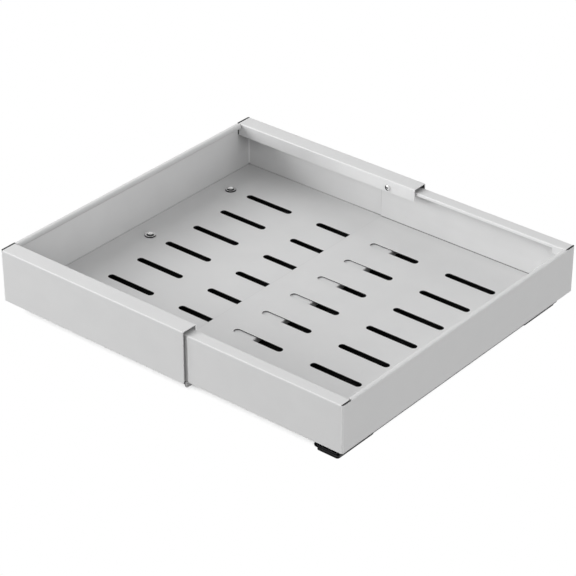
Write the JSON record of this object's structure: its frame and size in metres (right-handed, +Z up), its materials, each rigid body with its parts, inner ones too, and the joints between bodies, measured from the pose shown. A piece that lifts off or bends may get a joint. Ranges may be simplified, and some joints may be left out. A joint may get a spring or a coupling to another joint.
{
  "type": "pull-out cabinet organizer",
  "caption": "Expandable sheet-steel tray in two nested halves with drain slots, drawn out of a cabinet on two flat ball-bearing slides.",
  "frame": {"origin": "on the cabinet floor, under the middle of the organizer's box, pushed in and at full width", "axes": "+X to the right along the front, +Y to the back of the cabinet, +Z up"},
  "size_m": [0.4901, 0.4321, 0.0788],
  "materials": {
    "tray_steel": "satin pale grey powder coat",
    "slide_steel": "satin black coat",
    "cage_steel": "bright zinc plate",
    "black_rubber": "matt black",
    "screw_steel": "satin pale grey coat"
  },
  "bodies": {
    "left_base": {"left_cabinet_member": "slide_steel", "left_front_pad": "black_rubber", "left_rear_pad": "black_rubber", "left_rear_bumper": "black_rubber"},
    "left_lower_cage": {"left_lower_ball_cage": "cage_steel"},
    "left_middle": {"left_middle_member": "slide_steel"},
    "left_upper_cage": {"left_upper_ball_cage": "cage_steel"},
    "outer_tray": {"outer_tray": "tray_steel", "left_drawer_member": "slide_steel", "left_floor_screw_front": "screw_steel", "left_floor_screw_middle": "screw_steel", "left_floor_screw_rear": "screw_steel", "front_stop_screw": "screw_steel", "rear_stop_screw": "screw_steel"},
    "inner_tray": {"inner_tray": "tray_steel", "right_drawer_member": "slide_steel", "right_floor_screw_front": "screw_steel", "right_floor_screw_middle": "screw_steel", "right_floor_screw_rear": "screw_steel"},
    "right_upper_cage": {"right_upper_ball_cage": "cage_steel"},
    "right_middle": {"right_middle_member": "slide_steel"},
    "right_lower_cage": {"right_lower_ball_cage": "cage_steel"},
    "right_base": {"right_cabinet_member": "slide_steel", "right_front_pad": "black_rubber", "right_rear_pad": "black_rubber", "right_rear_bumper": "black_rubber"}
  },
  "joints": [
    {"name": "pull_out", "type": "slide", "parent": "left_base", "child": "outer_tray", "axis": [0, -1, 0], "range_m": [0, 0.39]},
    {"name": "left_lower_cage_run", "type": "slide", "parent": "left_base", "child": "left_lower_cage", "axis": [0, -1, 0], "range_m": [0, 0.0975]},
    {"name": "left_middle_run", "type": "slide", "parent": "left_base", "child": "left_middle", "axis": [0, -1, 0], "range_m": [0, 0.195]},
    {"name": "left_upper_cage_run", "type": "slide", "parent": "left_base", "child": "left_upper_cage", "axis": [0, -1, 0], "range_m": [0, 0.2925]},
    {"name": "width_adjust", "type": "slide", "parent": "outer_tray", "child": "inner_tray", "axis": [1, 0, 0], "range_m": [-0.165, 0]},
    {"name": "right_upper_cage_run", "type": "slide", "parent": "inner_tray", "child": "right_upper_cage", "axis": [0, 1, 0], "range_m": [0, 0.0975]},
    {"name": "right_middle_run", "type": "slide", "parent": "inner_tray", "child": "right_middle", "axis": [0, 1, 0], "range_m": [0, 0.195]},
    {"name": "right_lower_cage_run", "type": "slide", "parent": "inner_tray", "child": "right_lower_cage", "axis": [0, 1, 0], "range_m": [0, 0.2925]},
    {"name": "right_base_run", "type": "slide", "parent": "inner_tray", "child": "right_base", "axis": [0, 1, 0], "range_m": [0, 0.39]}
  ],
  "couplings": [
    {"joint": "left_lower_cage_run", "follows": "pull_out", "ratio": 0.25},
    {"joint": "left_middle_run", "follows": "pull_out", "ratio": 0.5},
    {"joint": "left_upper_cage_run", "follows": "pull_out", "ratio": 0.75},
    {"joint": "right_upper_cage_run", "follows": "pull_out", "ratio": 0.25},
    {"joint": "right_middle_run", "follows": "pull_out", "ratio": 0.5},
    {"joint": "right_lower_cage_run", "follows": "pull_out", "ratio": 0.75},
    {"joint": "right_base_run", "follows": "pull_out", "ratio": 1}
  ]
}
